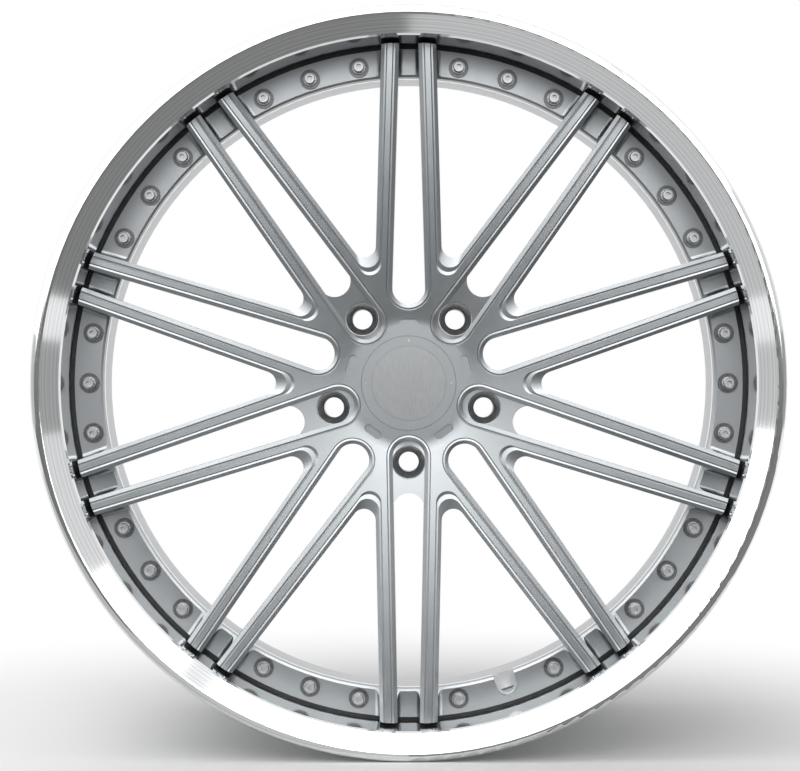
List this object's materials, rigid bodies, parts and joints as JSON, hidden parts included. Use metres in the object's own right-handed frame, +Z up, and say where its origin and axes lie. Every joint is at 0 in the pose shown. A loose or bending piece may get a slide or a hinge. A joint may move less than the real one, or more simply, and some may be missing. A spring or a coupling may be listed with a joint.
{
  "type": "wheel rim",
  "caption": "Forged three-piece racing wheel rim: twin-spoke centre disc bolted between a deep polished front lip and a rear barrel, with lug seats, hub ring and pull-off centre cap.",
  "frame": {"origin": "centre of the rim: on the wheel's axis, half way between the two flanges' outer faces", "axes": "+Y along the wheel's axis towards the car, -Y is the street side, +Z up at 12 o'clock"},
  "size_m": [0.5982, 0.279, 0.5982],
  "materials": {
    "disc_silver": "satin silver paint on an aluminium forging",
    "lip_polish": "machine-polished aluminium",
    "barrel_silver": "satin light silver paint on spun aluminium",
    "bolt_steel": "bright plated steel",
    "washer_steel": "grey plated steel",
    "insert_steel": "plain stainless steel",
    "seat_steel": "dark phosphated steel",
    "seal_rubber": "matt black rubber",
    "sealant": "satin dark grey silicone",
    "ring_aluminium": "plain turned aluminium",
    "clip_wire": "bright spring wire",
    "cap_silver": "satin silver paint on moulded nylon",
    "plate_silver": "satin brushed aluminium with nothing on it",
    "pin_steel": "satin steel",
    "cap_clip_wire": "bright spring wire",
    "cap_seal": "matt black rubber"
  },
  "bodies": {
    "wheel": {"centre_disc": "disc_silver", "outer_lip": "lip_polish", "inner_barrel": "barrel_silver", "assembly_bolts": "bolt_steel", "bolt_washers": "washer_steel", "thread_inserts": "insert_steel", "lug_seats": "seat_steel", "gap_seal_ring": "seal_rubber", "joint_sealant": "sealant", "hub_ring": "ring_aluminium", "hub_ring_clip": "clip_wire"},
    "cap": {"centre_cap": "cap_silver", "cap_face_plate": "plate_silver", "cap_face_pins": "pin_steel", "cap_clip_ring": "cap_clip_wire", "cap_seal_ring": "cap_seal"}
  },
  "joints": [
    {"name": "cap_pull", "type": "slide", "parent": "wheel", "child": "cap", "axis": [0, -1, 0], "range_m": [0, 0.09]}
  ]
}
